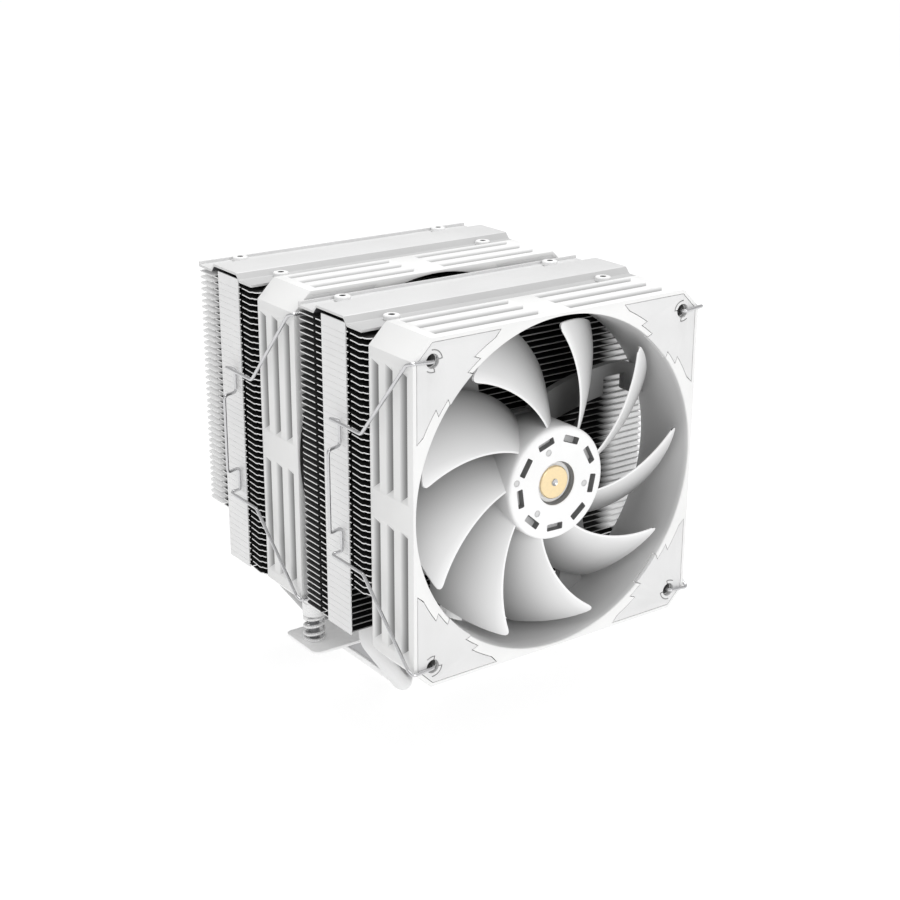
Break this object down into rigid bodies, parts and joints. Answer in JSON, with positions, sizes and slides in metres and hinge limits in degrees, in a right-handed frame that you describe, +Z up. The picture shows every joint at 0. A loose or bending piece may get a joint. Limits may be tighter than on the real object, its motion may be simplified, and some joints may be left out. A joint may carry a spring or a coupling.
{
  "type": "cpu cooler",
  "caption": "White dual-tower air cooler for a processor: finned towers on heat pipes, clipped fans that spin, and a sprung mounting bar on the base.",
  "frame": {"origin": "centre of the cold plate's contact face, where it meets the processor", "axes": "+Z up along the towers; air runs along +Y, from the front fan to the rear tower; +X across the fans"},
  "size_m": [0.1352, 0.1418, 0.156],
  "materials": {
    "white_plastic": "satin white moulding",
    "pad_rubber": "matt light grey",
    "rotor_plastic": "satin off-white moulding",
    "gold_cap": "pale gold, satin",
    "shaft_steel": "ground steel",
    "stator_core": "dark motor parts",
    "clip_wire": "bright plated wire",
    "white_fin": "white coated sheet",
    "white_cover": "white coated sheet",
    "cover_screw": "light grey",
    "white_pipe": "white coated tube",
    "base_metal": "satin",
    "plate_metal": "nickel-plated copper, polished contact face",
    "bar_metal": "satin plated",
    "screw_metal": "bright plated"
  },
  "bodies": {
    "cooler": {"front_fan_frame": "white_plastic", "front_fan_pad_top_left": "pad_rubber", "front_fan_pad_top_right": "pad_rubber", "front_fan_pad_bottom_left": "pad_rubber", "front_fan_pad_bottom_right": "pad_rubber", "front_fan_stator": "stator_core", "mid_fan_frame": "white_plastic", "mid_fan_pad_top_left": "pad_rubber", "mid_fan_pad_top_right": "pad_rubber", "mid_fan_pad_bottom_left": "pad_rubber", "mid_fan_pad_bottom_right": "pad_rubber", "mid_fan_stator": "stator_core", "front_fin_stack": "white_fin", "front_cover": "white_cover", "front_cover_screw_1": "cover_screw", "front_cover_screw_2": "cover_screw", "front_cover_screw_3": "cover_screw", "front_cover_screw_4": "cover_screw", "rear_fin_stack": "white_fin", "rear_cover": "white_cover", "rear_cover_screw_1": "cover_screw", "rear_cover_screw_2": "cover_screw", "rear_cover_screw_3": "cover_screw", "rear_cover_screw_4": "cover_screw", "heat_pipe_left_1": "white_pipe", "heat_pipe_left_2": "white_pipe", "heat_pipe_left_3": "white_pipe", "heat_pipe_right_1": "white_pipe", "heat_pipe_right_2": "white_pipe", "heat_pipe_right_3": "white_pipe", "base_block": "base_metal", "cold_plate": "plate_metal", "mounting_bar": "bar_metal", "bar_screw_left": "screw_metal", "screw_spring_left": "screw_metal", "bar_screw_right": "screw_metal", "screw_spring_right": "screw_metal"},
    "front_rotor": {"front_fan_rotor": "rotor_plastic", "front_fan_hub_cap": "gold_cap", "front_fan_shaft": "shaft_steel"},
    "mid_rotor": {"mid_fan_rotor": "rotor_plastic", "mid_fan_hub_cap": "gold_cap", "mid_fan_shaft": "shaft_steel"},
    "front_clip_left": {"front_fan_clip_left": "clip_wire"},
    "front_clip_right": {"front_fan_clip_right": "clip_wire"},
    "mid_clip_left": {"mid_fan_clip_left": "clip_wire"},
    "mid_clip_right": {"mid_fan_clip_right": "clip_wire"},
    "left_screw_ring": {"screw_ring_left": "screw_metal"},
    "left_screw": {"spring_screw_left": "screw_metal"},
    "right_screw_ring": {"screw_ring_right": "screw_metal"},
    "right_screw": {"spring_screw_right": "screw_metal"}
  },
  "joints": [
    {"name": "front_rotor_spin", "type": "hinge", "parent": "cooler", "child": "front_rotor", "pos_m": [0, -0.0735, 0.096], "axis": [0, 1, 0], "continuous": true},
    {"name": "front_clip_left_swing", "type": "hinge", "parent": "cooler", "child": "front_clip_left", "pos_m": [-0.0525, -0.08695, 0.096], "axis": [0, 0, 1], "range_deg": [0, 25]},
    {"name": "front_clip_right_swing", "type": "hinge", "parent": "cooler", "child": "front_clip_right", "pos_m": [0.0525, -0.08695, 0.096], "axis": [0, 0, -1], "range_deg": [0, 25]},
    {"name": "mid_rotor_spin", "type": "hinge", "parent": "cooler", "child": "mid_rotor", "pos_m": [0, -0.002, 0.096], "axis": [0, 1, 0], "continuous": true},
    {"name": "mid_clip_left_swing", "type": "hinge", "parent": "cooler", "child": "mid_clip_left", "pos_m": [-0.0525, -0.01545, 0.096], "axis": [0, 0, 1], "range_deg": [0, 8]},
    {"name": "mid_clip_right_swing", "type": "hinge", "parent": "cooler", "child": "mid_clip_right", "pos_m": [0.0525, -0.01545, 0.096], "axis": [0, 0, -1], "range_deg": [0, 8]},
    {"name": "left_screw_press", "type": "slide", "parent": "cooler", "child": "left_screw_ring", "axis": [0, 0, 1], "range_m": [-0.004, 0], "stiffness_N_per_m": 2000, "deforming": ["screw_spring_left"]},
    {"name": "left_screw_turn", "type": "hinge", "parent": "left_screw_ring", "child": "left_screw", "pos_m": [-0.0466, 0, 0.02], "axis": [0, 0, 1], "continuous": true},
    {"name": "right_screw_press", "type": "slide", "parent": "cooler", "child": "right_screw_ring", "axis": [0, 0, 1], "range_m": [-0.004, 0], "stiffness_N_per_m": 2000, "deforming": ["screw_spring_right"]},
    {"name": "right_screw_turn", "type": "hinge", "parent": "right_screw_ring", "child": "right_screw", "pos_m": [0.0466, 0, 0.02], "axis": [0, 0, 1], "continuous": true}
  ]
}
